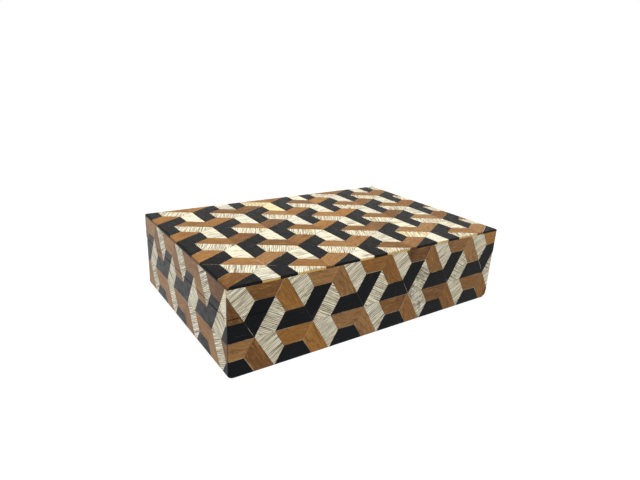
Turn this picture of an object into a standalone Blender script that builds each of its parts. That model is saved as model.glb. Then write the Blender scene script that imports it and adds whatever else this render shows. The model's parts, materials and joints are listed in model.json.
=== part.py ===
"""Inlaid wooden box: a veneered wooden tray and a hinged lid.

Frame: the origin is the centre of the underside, +X runs along the box's length, the front faces -Y, the
back with its two hinges is at +Y, and +Z is up. All lengths are in metres.

The box is made as the real one is: a plain wooden carcass, a sheet of inlay on each outer face, a felt
lining inside, a felt pad underneath, and two brass butt hinges let into the rims at the back.
"""

import math

import bmesh
import bpy
from mathutils import Matrix

# Driving dimensions
TILE_ROW = 0.0127  # height of one row of inlay tiles
ROWS = 5  # rows of tiles up the front
HEIGHT = ROWS * TILE_ROW
LENGTH = 0.2487
DEPTH = 0.1648
SEAM = 0.0418  # height of the saw cut between tray and lid
GAP = 0.0003  # between pieces that touch

# Sheet and board thicknesses
INLAY = 0.0018
WALL = 0.0075
PANEL = 0.0050  # the lid's top board
FLOOR = 0.0040
LINING = 0.0008
PAD = 0.0010  # felt under the box

# Sanded edges
PAD_INSET = 0.0008
PAD_CORNER = 0.0050
END_ROUND = 0.0030  # the bottom edges at the two ends
ARRIS = 0.0006

# Hinges
HINGE_X = 0.0750  # from the middle of the box to the middle of a hinge
HINGE_LENGTH = 0.0250
KNUCKLES = 5
KNUCKLE_R = 0.0016
KNUCKLE_SPACE = 0.0003
PIN_R = 0.0008
PIN_SLACK = 0.00006
PIN_HEAD_R = 0.0013
PIN_HEAD = 0.0005
LEAF = 0.0009
SCREW_X = 0.0070  # from the middle of a hinge to each screw
SCREW_INSET = 0.0043  # from the pin's axis to the screws
SCREW_R = 0.0008
SCREW_HEAD_R = 0.0015
SCREW_LENGTH = 0.0090
SCREW_SLOT = 0.0005
SLOT_DEPTH = 0.0003
OPEN_ANGLE = math.radians(95)
ROUND_STEPS = 24

# Places worked out from them
SKIN = INLAY + GAP  # from the outer face to the carcass
CARCASS_X = LENGTH / 2 - SKIN
CARCASS_Y = DEPTH / 2 - SKIN
INSIDE_X = CARCASS_X - WALL
INSIDE_Y = CARCASS_Y - WALL
BASE_BOTTOM = PAD + GAP
BASE_RIM = SEAM - GAP / 2
LID_RIM = SEAM + GAP / 2
PANEL_TOP = HEIGHT - SKIN
PANEL_BOTTOM = PANEL_TOP - PANEL
FLOOR_TOP = BASE_BOTTOM + FLOOR
AXIS_Y = DEPTH / 2 - KNUCKLE_R
LEAF_INNER_Y = INSIDE_Y + GAP
LEAF_OUTER_Y = AXIS_Y - KNUCKLE_R - GAP
SCREW_Y = AXIS_Y - SCREW_INSET

FINISHES = {
    "inlay": ((0.36, 0.24, 0.14), 0.30, 0.0),
    "carcass wood": ((0.32, 0.19, 0.10), 0.60, 0.0),
    "felt": ((0.02, 0.02, 0.022), 0.95, 0.0),
    "brass": ((0.62, 0.44, 0.18), 0.35, 1.0),
    "steel": ((0.55, 0.54, 0.50), 0.35, 1.0),
}


def clear_scene():
    for old in list(bpy.data.objects):
        bpy.data.objects.remove(old, do_unlink=True)


def finish(name):
    """The material of that name, made the first time it is asked for."""
    found = bpy.data.materials.get(name)
    if found:
        return found
    colour, roughness, metallic = FINISHES[name]
    made = bpy.data.materials.new(name)
    made.use_nodes = True
    shader = made.node_tree.nodes["Principled BSDF"]
    shader.inputs["Base Color"].default_value = (*colour, 1.0)
    shader.inputs["Roughness"].default_value = roughness
    shader.inputs["Metallic"].default_value = metallic
    return made


def add_object(name, shape, place, material, parent=None):
    """Put a bmesh, drawn round its own origin, at a place in the world."""
    mesh = bpy.data.meshes.new(name)
    bmesh.ops.recalc_face_normals(shape, faces=shape.faces)
    shape.to_mesh(mesh)
    shape.free()
    piece = bpy.data.objects.new(name, mesh)
    bpy.context.collection.objects.link(piece)
    piece.data.materials.append(finish(material))
    piece.parent = parent
    origin = parent.location if parent else (0.0, 0.0, 0.0)
    piece.location = [p - o for p, o in zip(place, origin)]
    return piece


def block(size):
    """A box of that size about the origin."""
    shape = bmesh.new()
    bmesh.ops.create_cube(shape, size=1.0)
    bmesh.ops.scale(shape, vec=size, verts=shape.verts)
    return shape


def add_block(name, low, high, material, parent=None):
    size = [h - l for l, h in zip(low, high)]
    middle = [(h + l) / 2 for l, h in zip(low, high)]
    return add_object(name, block(size), middle, material, parent)


def rod(radius, length, along):
    """A closed cylinder about the origin, along X or Z."""
    shape = bmesh.new()
    turn = Matrix.Rotation(math.pi / 2, 4, "Y") if along == "X" else Matrix.Identity(4)
    bmesh.ops.create_cone(
        shape, cap_ends=True, segments=ROUND_STEPS, radius1=radius, radius2=radius,
        depth=length, matrix=turn)
    return shape


def turned(profile):
    """Spin a list of (radius, height) about Z. It runs from the axis out and back to the axis."""
    shape = bmesh.new()
    corners = [shape.verts.new((radius, 0.0, height)) for radius, height in profile]
    edges = [shape.edges.new(pair) for pair in zip(corners, corners[1:])]
    bmesh.ops.spin(
        shape, geom=corners + edges, cent=(0, 0, 0), axis=(0, 0, 1),
        angle=2 * math.pi, steps=ROUND_STEPS, use_merge=True)
    bmesh.ops.remove_doubles(shape, verts=shape.verts, dist=1e-6)
    return shape


def cutter(shape, place):
    """A guide object that other pieces are cut by. It isn't a piece of the box."""
    guide = add_object("guide", shape, place, "steel")
    guide.hide_render = True
    guide.display_type = "WIRE"
    return guide


def combine(piece, other, operation):
    change = piece.modifiers.new(operation.lower(), "BOOLEAN")
    change.operation = operation
    change.solver = "EXACT"
    change.object = other
    return change


def smooth(piece):
    piece.data.shade_smooth()
    piece.data.set_sharp_from_angle(angle=math.radians(40))


def bevel_edges(shape, wanted, width, steps):
    edges = [edge for edge in shape.edges if wanted(*(vert.co for vert in edge.verts))]
    bmesh.ops.bevel(
        shape, geom=edges, offset=width, offset_type="OFFSET", segments=steps, profile=0.5,
        affect="EDGES")


def outer_form():
    """The whole closed box as one solid with its edges sanded, which trims every sheet of inlay."""
    shape = block((LENGTH, DEPTH, HEIGHT))

    def end_bottom(a, b):
        return a.z < 0 and b.z < 0 and abs(a.x - b.x) < ARRIS

    def corner_post(a, b):
        return abs(a.z - b.z) > HEIGHT / 2

    bevel_edges(shape, end_bottom, END_ROUND, 4)
    bevel_edges(shape, corner_post, ARRIS, 1)
    return cutter(shape, (0, 0, HEIGHT / 2))


def stop_groove():
    """A long V along the back of the seam. Its two faces meet when the lid stands open."""
    shape = bmesh.new()
    slope = math.tan(OPEN_ANGLE / 2)
    reach = 2 * KNUCKLE_R
    rise = reach * slope + GAP / 2
    outline = [(-GAP / 2 / slope, 0), (reach, -rise), (reach, rise)]
    corners = [shape.verts.new((-LENGTH, y, z)) for y, z in outline]
    face = shape.faces.new(corners)
    drawn = bmesh.ops.extrude_face_region(shape, geom=[face])
    moved = [item for item in drawn["geom"] if isinstance(item, bmesh.types.BMVert)]
    bmesh.ops.translate(shape, vec=(2 * LENGTH, 0, 0), verts=moved)
    return cutter(shape, (0, AXIS_Y, SEAM))


def make_box_walls(prefix, low_z, high_z, board, parent):
    """Front and back boards run the whole length, and the end boards fit between them."""
    sides = {
        "front": ((-CARCASS_X, -CARCASS_Y), (CARCASS_X, -INSIDE_Y)),
        "back": ((-CARCASS_X, INSIDE_Y), (CARCASS_X, CARCASS_Y)),
        "left": ((-CARCASS_X, -INSIDE_Y + GAP), (-INSIDE_X, INSIDE_Y - GAP)),
        "right": ((INSIDE_X, -INSIDE_Y + GAP), (CARCASS_X, INSIDE_Y - GAP)),
    }
    return {
        side: add_block(
            f"{prefix}_{side}_{board}", (*low, low_z), (*high, high_z), "carcass wood", parent)
        for side, (low, high) in sides.items()
    }


def make_side_inlay(prefix, low_z, high_z, parent):
    """Front and back sheets cover the ends of the two end sheets."""
    end_y = DEPTH / 2 - SKIN
    sides = {
        "front": ((-LENGTH / 2, -DEPTH / 2), (LENGTH / 2, -DEPTH / 2 + INLAY)),
        "back": ((-LENGTH / 2, DEPTH / 2 - INLAY), (LENGTH / 2, DEPTH / 2)),
        "left": ((-LENGTH / 2, -end_y), (-LENGTH / 2 + INLAY, end_y)),
        "right": ((LENGTH / 2 - INLAY, -end_y), (LENGTH / 2, end_y)),
    }
    return {
        side: add_block(
            f"{prefix}_{side}_inlay", (*low, low_z), (*high, high_z), "inlay", parent)
        for side, (low, high) in sides.items()
    }


def make_tray():
    walls = make_box_walls("base", BASE_BOTTOM, BASE_RIM, "wall", None)
    sheets = make_side_inlay("base", BASE_BOTTOM, BASE_RIM, None)
    inside_x = INSIDE_X - GAP
    inside_y = INSIDE_Y - GAP
    add_block(
        "base_floor_board", (-inside_x, -inside_y, BASE_BOTTOM), (inside_x, inside_y, FLOOR_TOP),
        "carcass wood")
    add_block(
        "base_floor_lining", (-inside_x, -inside_y, FLOOR_TOP + GAP),
        (inside_x, inside_y, FLOOR_TOP + GAP + LINING), "felt")
    pad = block((LENGTH - 2 * PAD_INSET, DEPTH - 2 * PAD_INSET, PAD))
    bevel_edges(pad, lambda a, b: abs(a.z - b.z) > PAD / 2, PAD_CORNER, 6)
    add_object("underside_felt", pad, (0, 0, PAD / 2), "felt")
    return walls, sheets


def make_lid(lid_axis):
    rails = make_box_walls("lid", LID_RIM, PANEL_BOTTOM - GAP, "rail", lid_axis)
    sheets = make_side_inlay("lid", LID_RIM, PANEL_TOP, lid_axis)
    add_block(
        "lid_panel", (-CARCASS_X, -CARCASS_Y, PANEL_BOTTOM), (CARCASS_X, CARCASS_Y, PANEL_TOP),
        "carcass wood", lid_axis)
    sheets["top"] = add_block(
        "lid_top_inlay", (-LENGTH / 2, -DEPTH / 2, HEIGHT - INLAY),
        (LENGTH / 2, DEPTH / 2, HEIGHT), "inlay", lid_axis)
    inside_x = INSIDE_X - GAP
    inside_y = INSIDE_Y - GAP
    lining_top = PANEL_BOTTOM - GAP
    add_block(
        "lid_lining", (-inside_x, -inside_y, lining_top - LINING),
        (inside_x, inside_y, lining_top), "felt", lid_axis)
    return rails, sheets


def knuckle_centres():
    """The middle of each knuckle along the hinge, from its left end."""
    pitch = HINGE_LENGTH / KNUCKLES
    return [(i + 0.5) * pitch - HINGE_LENGTH / 2 for i in range(KNUCKLES)]


def make_leaf(name, middle_x, centres, up, parent):
    """A flat leaf with its knuckles: up is -1 for the tray's leaf and 1 for the lid's."""
    near = SEAM + up * GAP / 2
    far = near + up * LEAF
    low_z, high_z = min(near, far), max(near, far)
    leaf = add_block(
        name, (middle_x - HINGE_LENGTH / 2, LEAF_INNER_Y, low_z),
        (middle_x + HINGE_LENGTH / 2, LEAF_OUTER_Y, high_z), "brass", parent)
    width = HINGE_LENGTH / KNUCKLES - KNUCKLE_SPACE
    for x in (middle_x + centre for centre in centres):
        tab = block((width, AXIS_Y - LEAF_OUTER_Y + GAP, LEAF))
        tab_y = (LEAF_OUTER_Y - GAP + AXIS_Y) / 2
        combine(leaf, cutter(tab, (x, tab_y, (near + far) / 2)), "UNION")
        barrel = cutter(rod(KNUCKLE_R, width, "X"), (x, AXIS_Y, SEAM))
        combine(leaf, barrel, "UNION")
    bore = cutter(rod(PIN_R + PIN_SLACK, 2 * HINGE_LENGTH, "X"), (middle_x, AXIS_Y, SEAM))
    combine(leaf, bore, "DIFFERENCE")
    for x in (middle_x - SCREW_X, middle_x + SCREW_X):
        sink = cutter(countersink(), (x, SCREW_Y, near))
        sink.rotation_euler.x = 0.0 if up < 0 else math.pi
        combine(leaf, sink, "DIFFERENCE")
    smooth(leaf)
    return leaf


def countersink():
    """The hole for a screw, pointing down from the leaf's face at height 0."""
    slack = PIN_SLACK
    depth = SCREW_HEAD_R - SCREW_R
    return turned([
        (0, LEAF),
        (SCREW_HEAD_R + slack, LEAF),
        (SCREW_HEAD_R + slack, 0),
        (SCREW_R + slack, -depth),
        (SCREW_R + slack, -2 * LEAF),
        (0, -2 * LEAF),
    ])


def make_pin(name, middle_x):
    """A rod with a turned-over head at each end, just clear of the end knuckles."""
    half = HINGE_LENGTH / 2
    top = half + PIN_HEAD
    chamfer = PIN_HEAD / 2
    shape = turned([
        (0, -top),
        (PIN_HEAD_R - chamfer, -top),
        (PIN_HEAD_R, -top + chamfer),
        (PIN_HEAD_R, -half),
        (PIN_R, -half),
        (PIN_R, half),
        (PIN_HEAD_R, half),
        (PIN_HEAD_R, top - chamfer),
        (PIN_HEAD_R - chamfer, top),
        (0, top),
    ])
    bmesh.ops.rotate(
        shape, cent=(0, 0, 0), matrix=Matrix.Rotation(math.pi / 2, 3, "Y"), verts=shape.verts)
    smooth(add_object(name, shape, (middle_x, AXIS_Y, SEAM), "brass"))


def make_screw(name, place, up, parent):
    """A countersunk screw with a slot, its head flush with the leaf's face."""
    sink = SCREW_HEAD_R - SCREW_R
    shape = turned([
        (0, 0),
        (SCREW_HEAD_R, 0),
        (SCREW_R, -sink),
        (SCREW_R, -SCREW_LENGTH + 2 * SCREW_R),
        (0, -SCREW_LENGTH),
    ])
    slot = block((SCREW_SLOT, 4 * SCREW_HEAD_R, 2 * SLOT_DEPTH))
    screw = add_object(name, shape, place, "brass", parent)
    screw.rotation_euler.x = 0.0 if up < 0 else math.pi
    combine(screw, cutter(slot, place), "DIFFERENCE")
    smooth(screw)


def let_in_hinge(middle_x, pieces, up):
    """Cut the hinge's bed and its screws' holes in a back board and the sheet on it."""
    board, sheet = pieces
    ends = HINGE_LENGTH + 2 * (PIN_HEAD + GAP)
    barrel = cutter(rod(KNUCKLE_R + GAP, ends, "X"), (middle_x, AXIS_Y, SEAM))
    combine(board, barrel, "DIFFERENCE")
    combine(sheet, barrel, "DIFFERENCE")
    depth = LEAF + GAP
    bed_low = LEAF_INNER_Y - 4 * GAP
    bed = block((HINGE_LENGTH + 2 * GAP, AXIS_Y - bed_low, 2 * depth))
    middle = (middle_x, (AXIS_Y + bed_low) / 2, SEAM + up * GAP / 2)
    combine(board, cutter(bed, middle), "DIFFERENCE")
    for x in (middle_x - SCREW_X, middle_x + SCREW_X):
        hole = rod(SCREW_R + PIN_SLACK, 2 * (SCREW_LENGTH + GAP), "Z")
        combine(board, cutter(hole, (x, SCREW_Y, SEAM + up * GAP / 2)), "DIFFERENCE")


def make_hinge(side, middle_x, tray_back, lid_back, lid_axis):
    centres = knuckle_centres()
    make_leaf(f"{side}_hinge_base_leaf", middle_x, centres[0::2], -1, None)
    make_leaf(f"{side}_hinge_lid_leaf", middle_x, centres[1::2], 1, lid_axis)
    make_pin(f"{side}_hinge_pin", middle_x)
    for part, up, parent in (("base", -1, None), ("lid", 1, lid_axis)):
        for place, x in (("outer", -SCREW_X), ("inner", SCREW_X)):
            if side == "right":
                x = -x
            make_screw(
                f"{side}_hinge_{part}_{place}_screw",
                (middle_x + x, SCREW_Y, SEAM + up * GAP / 2), up, parent)
    let_in_hinge(middle_x, tray_back, -1)
    let_in_hinge(middle_x, lid_back, 1)


def main():
    clear_scene()
    lid_axis = bpy.data.objects.new("lid_axis", None)
    lid_axis.location = (0, AXIS_Y, SEAM)
    bpy.context.collection.objects.link(lid_axis)
    walls, base_sheets = make_tray()
    rails, lid_sheets = make_lid(lid_axis)
    groove = stop_groove()
    for sheet in (base_sheets["back"], lid_sheets["back"]):
        combine(sheet, groove, "DIFFERENCE")
    tray_back = (walls["back"], base_sheets["back"])
    lid_back = (rails["back"], lid_sheets["back"])
    for side, middle_x in (("left", -HINGE_X), ("right", HINGE_X)):
        make_hinge(side, middle_x, tray_back, lid_back, lid_axis)
    form = outer_form()
    for sheet in (*base_sheets.values(), *lid_sheets.values()):
        combine(sheet, form, "INTERSECT")


main()
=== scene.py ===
# %% [markdown]
# # An inlaid wooden box
# A low wooden box with a hinged lid. Each outer face carries a sheet of half-hexagon tiles in bone, black and
# brown wood, set in chevrons. The tray, lid and hinges already exist as plain solids; this lesson gives them
# their looks. It begins by loading those solids and noting the box that they fill.

# %% Load the plain solids
import json
import math

import bpy
import numpy as np
from mathutils import Matrix, Vector


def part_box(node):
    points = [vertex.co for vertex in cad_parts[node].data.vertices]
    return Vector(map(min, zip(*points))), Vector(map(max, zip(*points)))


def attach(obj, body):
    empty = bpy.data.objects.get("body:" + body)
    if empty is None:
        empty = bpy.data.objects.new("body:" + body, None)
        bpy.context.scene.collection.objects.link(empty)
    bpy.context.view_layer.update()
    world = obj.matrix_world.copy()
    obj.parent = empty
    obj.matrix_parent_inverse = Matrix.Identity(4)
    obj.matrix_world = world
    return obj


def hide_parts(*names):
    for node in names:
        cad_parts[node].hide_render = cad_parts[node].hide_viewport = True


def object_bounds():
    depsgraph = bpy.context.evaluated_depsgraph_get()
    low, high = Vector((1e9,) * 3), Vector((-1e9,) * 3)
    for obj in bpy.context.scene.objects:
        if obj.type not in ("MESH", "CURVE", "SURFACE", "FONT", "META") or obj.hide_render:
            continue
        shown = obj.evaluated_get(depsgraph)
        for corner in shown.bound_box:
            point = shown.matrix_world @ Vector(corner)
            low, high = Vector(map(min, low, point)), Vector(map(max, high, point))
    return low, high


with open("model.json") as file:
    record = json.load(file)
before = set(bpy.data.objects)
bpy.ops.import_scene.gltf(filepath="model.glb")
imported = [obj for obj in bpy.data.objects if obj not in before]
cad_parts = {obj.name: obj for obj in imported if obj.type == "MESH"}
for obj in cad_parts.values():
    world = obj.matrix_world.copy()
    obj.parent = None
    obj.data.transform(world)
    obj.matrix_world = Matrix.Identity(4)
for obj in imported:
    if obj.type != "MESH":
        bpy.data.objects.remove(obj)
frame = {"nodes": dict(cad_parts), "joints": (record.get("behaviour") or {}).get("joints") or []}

plain_low, plain_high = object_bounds()
LENGTH, DEPTH, HEIGHT = plain_high - plain_low
print("plain solids:", len(frame["nodes"]))
print("box in mm:", [round(1000 * side, 1) for side in (LENGTH, DEPTH, HEIGHT)])

# %% [markdown]
# ## Camera
# The box is seen from its front left corner and a little above, from about half a metre away, so its far end
# looks much smaller. A wide lens close by does that. The camera looks along its own -Z, so its turn is built
# from the direction back towards it, plus a slight roll.

# %% Place the camera
CAMERA_PLACE = (-0.2327, -0.3278, 0.1900)
CAMERA_AZIMUTH, CAMERA_ELEVATION, CAMERA_ROLL = map(math.radians, (-35.17, 19.62, 2.94))
CAMERA_LENS = 28.0

camera_data = bpy.data.cameras.new("camera")
camera_data.sensor_width = 36.0
camera_data.lens = CAMERA_LENS
camera_data.clip_start = 0.01
camera = bpy.data.objects.new("camera", camera_data)
bpy.context.scene.collection.objects.link(camera)
backwards = Vector((
    math.sin(CAMERA_AZIMUTH) * math.cos(CAMERA_ELEVATION),
    -math.cos(CAMERA_AZIMUTH) * math.cos(CAMERA_ELEVATION),
    math.sin(CAMERA_ELEVATION)))
upright = backwards.to_track_quat("Z", "Y").to_matrix().to_4x4()
camera.matrix_world = (
    Matrix.Translation(CAMERA_PLACE) @ upright @ Matrix.Rotation(CAMERA_ROLL, 4, "Z"))
bpy.context.scene.camera = camera
bpy.context.scene.view_settings.view_transform = "Standard"
print("camera to box in mm:", round(1000 * camera.location.length))

# %% [markdown]
# ## Floor and light
# The box stands on a lit white table that glows, which fills the upright faces from below and leaves hardly
# any shadow. One large soft panel overhead makes the top the brightest face, and a weak one beside the near
# corner gives the rounded edges something to mirror.

# %% Hang the lamps
def soft_panel(name, place, aim, size, watts, colour):
    """A lamp with a flat glowing face, at a place, facing an aim point."""
    lamp = bpy.data.lights.new(name, "AREA")
    lamp.shape = "RECTANGLE"
    lamp.size, lamp.size_y = size
    lamp.energy = watts
    lamp.color = colour
    holder = bpy.data.objects.new(name, lamp)
    bpy.context.scene.collection.objects.link(holder)
    holder.location = place
    holder.rotation_euler = (Vector(aim) - Vector(place)).to_track_quat("-Z", "Y").to_euler()


soft_panel("overhead panel", (0.0, 0.1, 1.6), (0, 0, 0), (1.1, 1.0), 31.0, (1.0, 0.99, 0.97))
soft_panel("corner panel", (-1.7, -0.5, 0.8), (-0.12, -0.08, 0.03), (0.5, 0.5), 1.2, (1.0, 0.98, 0.96))
print("lamps:", len(bpy.data.lights))

# %% [markdown]
# Every look below is a graph of shader nodes. The class here keeps them short to write: an input is either a
# number, a colour or another node's output. Its `step` goes from one value to another along the smooth curve
# 3 t^2 - 2 t^3, where t runs from 0 to 1 between two marks.

# %% Write node graphs briefly
class Graph:
    """A short way to write node graphs: a call adds a node, sets its values and returns what it gives."""

    def __init__(self, tree):
        self.tree = tree
        self.tree.nodes.clear()

    def add(self, kind, inputs=(), **settings):
        """Add a node of a kind with its settings, and fill its inputs by name or number."""
        node = self.tree.nodes.new(kind)
        for key, value in settings.items():
            setattr(node, key, value)
        for key, value in dict(inputs).items():
            self.join(value, node.inputs[key])
        return node

    def join(self, value, socket):
        """Link an output to an input, or set the input to a plain value."""
        if isinstance(value, bpy.types.NodeSocket):
            self.tree.links.new(value, socket)
        else:
            socket.default_value = value

    def maths(self, operation, a, b=0.0):
        """Sums, products, sines and the like of single values."""
        return self.add("ShaderNodeMath", {0: a, 1: b}, operation=operation).outputs[0]

    def vector(self, operation, a, b):
        """Sums and products of places, one direction at a time."""
        return self.add("ShaderNodeVectorMath", {0: a, 1: b}, operation=operation).outputs[0]

    def noise(self, place, scale, detail=2.0, rough=0.5, warp=0.0):
        """Soft random values about 0.5."""
        inputs = {"Vector": place, "Scale": scale, "Detail": detail, "Roughness": rough, "Distortion": warp}
        return self.add("ShaderNodeTexNoise", inputs).outputs["Fac"]

    def step(self, value, low, high, from_value=0.0, to_value=1.0):
        """Rise smoothly between two values as the input goes from low to high."""
        inputs = {0: value, 1: low, 2: high, 3: from_value, 4: to_value}
        return self.add("ShaderNodeMapRange", inputs, interpolation_type="SMOOTHSTEP").outputs[0]

    def mix(self, share, a, b):
        """The colour a (1 - share) + b share."""
        node = self.add("ShaderNodeMix", data_type="RGBA")
        self.join(share, node.inputs[0])
        self.join(a if isinstance(a, bpy.types.NodeSocket) else (*a, 1.0), node.inputs[6])
        self.join(b if isinstance(b, bpy.types.NodeSocket) else (*b, 1.0), node.inputs[7])
        return node.outputs[2]

    def bump(self, height, strength, distance):
        """Tilt the surface as if it had this relief, at most a distance in metres high."""
        inputs = {"Height": height, "Strength": strength, "Distance": distance}
        return self.add("ShaderNodeBump", inputs).outputs[0]


print("graph calls:", [name for name in vars(Graph) if not name.startswith("_")])

# %% [markdown]
# The room above the table is grey for the lacquer and white for the camera, so that the top doesn't turn
# milky. The grey falls off upwards: near the horizon the room glows at 0.72 and overhead at 0.20.

# %% Light the room
world = bpy.data.worlds.new("studio")
bpy.context.scene.world = world
world.use_nodes = True
sky = Graph(world.node_tree)
upness = sky.add(
    "ShaderNodeSeparateXYZ", {0: sky.add("ShaderNodeTexCoord").outputs["Generated"]}).outputs[2]
room_glow = sky.step(upness, 0.10, 0.80, 0.72, 0.20)
room = sky.add("ShaderNodeBackground", {"Color": (1.0, 0.985, 0.93, 1.0), "Strength": room_glow})
white = sky.add("ShaderNodeBackground", {"Color": (1.0, 1.0, 1.0, 1.0), "Strength": 1.0})
seen = sky.add("ShaderNodeLightPath").outputs["Is Camera Ray"]
backdrop = sky.add("ShaderNodeMixShader", {0: seen, 1: room.outputs[0], 2: white.outputs[0]})
sky.add("ShaderNodeOutputWorld", {"Surface": backdrop.outputs[0]})
print("room nodes:", len(world.node_tree.nodes))

# %% [markdown]
# The table is a wide flat disc, dead matt, with most of its brightness its own. A corner of its rim at the
# angle t is (R cos t, R sin t, 0).

# %% Lay the floor
def mesh_piece(name, corners, faces, finish, values=()):
    """Make an object from an array of corners and a list of faces, with named values stored per corner."""
    mesh = bpy.data.meshes.new(name)
    mesh.from_pydata(np.asarray(corners, float).reshape(-1, 3).tolist(), [], faces)
    for key, array in dict(values).items():
        store = mesh.attributes.new(key, "FLOAT_VECTOR", "POINT")
        store.data.foreach_set("vector", np.asarray(array, np.float32).ravel())
    mesh.validate()
    mesh.update()
    piece = bpy.data.objects.new(name, mesh)
    piece.data.materials.append(finish)
    bpy.context.scene.collection.objects.link(piece)
    return piece


def new_finish(name):
    """A new material and an empty graph to fill."""
    material = bpy.data.materials.new(name)
    material.use_nodes = True
    return material, Graph(material.node_tree)


def shade(graph, **inputs):
    """End a graph with the glossy shader. Its inputs are named with _ for spaces."""
    shader = graph.add("ShaderNodeBsdfPrincipled", {k.replace("_", " "): v for k, v in inputs.items()})
    graph.add("ShaderNodeOutputMaterial", {"Surface": shader.outputs[0]})


FLOOR_REACH = 6.0
FLOOR_SIDES = 64
matt_white, paper = new_finish("matt white paper")
shade(
    paper, Base_Color=(0.08, 0.08, 0.08, 1.0), Roughness=1.0, Specular_IOR_Level=0.0,
    Emission_Color=(1.0, 1.0, 1.0, 1.0), Emission_Strength=0.98)
turn = np.linspace(0, 2 * math.pi, FLOOR_SIDES, endpoint=False)
rim = np.stack([FLOOR_REACH * np.cos(turn), FLOOR_REACH * np.sin(turn), 0 * turn], axis=1)
floor = mesh_piece("floor", rim, [list(range(FLOOR_SIDES))], matt_white)
print("floor across in m:", 2 * FLOOR_REACH)

# %% [markdown]
# ## The chevron pattern
# Each tile is half of a regular hexagon: a long edge of two sides, a short edge of one side and two slanted
# ends. Two tiles meet in a mitre and make a chevron, and three chevrons, one of each colour, meet at every
# elbow. So the whole sheet is one tile mirrored once, turned three times, and repeated on a grid of 60 degree
# steps, three sides apart. All tiles of a face are worked out as one array. Each tile also gets three random
# numbers for its finish, and the third says whether its bone is striped: on the upright sheets every slip is,
# on the top only one arm of each chevron.

# %% Work out the tiles
TILE_ROW = HEIGHT / 5  # the front is five rows of tiles high
SIDE = TILE_ROW / math.sin(math.radians(60))
RISE = 0.75 ** 0.5  # the height of a half hexagon whose short sides are 1
BONE, BLACK, BROWN = 0, 1, 2
TINY = 1e-7


def turned(points, angle):
    """Turn points of the plane about the origin: x cos - y sin, x sin + y cos."""
    c, s = np.cos(angle), np.sin(angle)
    x, y = points[..., 0], points[..., 1]
    return np.stack([c * x - s * y, s * x + c * y], axis=-1)


def chevron_tiles(elbow, angle, size):
    """Tiles that cover a face of that size: corners, long-edge directions, elbows, colours and chances.

    A corner is elbow + grid step + the half hexagon, mirrored or not, turned by the colour's 120 degree
    step and by the sheet's own angle. An upright sheet ends at the foot in whole black half hexagons,
    which take the place of the chevrons whose elbows lie below the box. The third chance is half a
    random number plus 1/2 for a striped tile, so striped tiles lie above 1/2 and the others below.
    """
    upright = angle == 0
    half_hexagon = np.array([(0, 0), (1, 0), (1.5, RISE), (1, 2 * RISE)]) * SIDE
    mirrored = (half_hexagon * (1, -1))[[0, 3, 2, 1]]
    reach = int(sum(size) / SIDE)
    i, j = np.meshgrid(np.arange(-reach, reach), np.arange(-reach, reach))
    steps = np.stack([3 * i + 1.5 * j, 3 * j * RISE], axis=-1).reshape(-1, 2) * SIDE
    shapes, directions, colours = [], [], []
    for colour in (BONE, BLACK, BROWN):
        for outline, lean in ((half_hexagon, 60), (mirrored, -60)):
            spin = math.radians(120 * colour) + angle
            shapes.append(turned(outline, spin))
            directions.append(spin + math.radians(lean))
            colours.append(colour)
    origins = np.asarray(elbow) + turned(steps, angle)
    count = len(origins)
    tiles = {
        "corners": (origins[:, None, None] + np.array(shapes)[None]).reshape(-1, 4, 2),
        "angle": np.tile(directions, count),
        "elbow": np.repeat(origins, 6, axis=0),
        "colour": np.tile(colours, count),
        "striped": np.tile([upright, True], 3 * count),
    }
    if upright:
        above = tiles["elbow"][:, 1] > 0
        lowest = origins[np.abs(origins[:, 1] - tiles["elbow"][above, 1].min()) < TINY]
        feet = lowest + np.array([1, -2 * RISE]) * SIDE
        added = {
            "corners": feet[:, None] + turned(mirrored, math.radians(60)),
            "angle": np.zeros(len(feet)),
            "elbow": feet,
            "colour": np.full(len(feet), BLACK),
            "striped": np.full(len(feet), True),
        }
        tiles = {key: np.concatenate([tiles[key][above], added[key]]) for key in tiles}
    corners = tiles["corners"]
    near = np.all((corners.max(1) > 0) & (corners.min(1) < np.asarray(size)), axis=1)
    tiles = {key: values[near] for key, values in tiles.items()}
    tiles["chance"] = np.random.default_rng(int(1e4 * sum(elbow))).random((near.sum(), 3))
    tiles["chance"][:, 2] = 0.5 * tiles["chance"][:, 2] + 0.5 * tiles["striped"]
    return tiles


def tile_at(tiles, place):
    """The number of the tile that holds a place, given in tile sides from the face's lower left corner.

    For an edge e and the way w from its first corner to the place, ex wy - ey wx is positive on the inner
    side and grows with the distance. The tile is the one whose least value over its edges is the greatest.
    """
    edge = np.roll(tiles["corners"], -1, axis=1) - tiles["corners"]
    way = np.asarray(place) * SIDE - tiles["corners"]
    inside = edge[..., 0] * way[..., 1] - edge[..., 1] * way[..., 0]
    return int(np.argmax(inside.min(1)))


print("tile side in mm:", round(1000 * SIDE, 2))

# %% [markdown]
# ## Trimming tiles
# Tiles run over the edges of a face and are sawn off there. A tile is convex, so it can be trimmed by one
# straight line at a time. Each edge remembers what it is (a glued joint, the box's arris, the saw cut), since
# that decides how it is rounded later. Both steps below handle all tiles of a face at once: every edge gives
# up to two corners, and the empty places are then squeezed out.

# %% Trim and split outlines by a line
JOINT, ARRIS, SAWN, FLUSH, GROOVE, SHORT_FOOT, LONG_FOOT, SHARP = range(8)
SAME = 10 * TINY  # corners nearer than this are one corner
CLEAR = 100 * TINY  # a new corner lies at least this far from the old ones


def squeeze(points, marks, keep):
    """Move the kept corners of each outline to the front, and fill the rest with its first corner."""
    order = np.argsort(~keep, axis=1, kind="stable")
    count = keep.sum(1)
    width = max(int(count.max()), 1) if len(count) else 1
    points = np.take_along_axis(points, order[..., None], axis=1)[:, :width]
    marks = np.take_along_axis(marks, order, axis=1)[:, :width]
    spare = np.arange(width)[None] >= count[:, None]
    points = np.where(spare[..., None], points[:, :1], points)
    return points, marks, count


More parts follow.
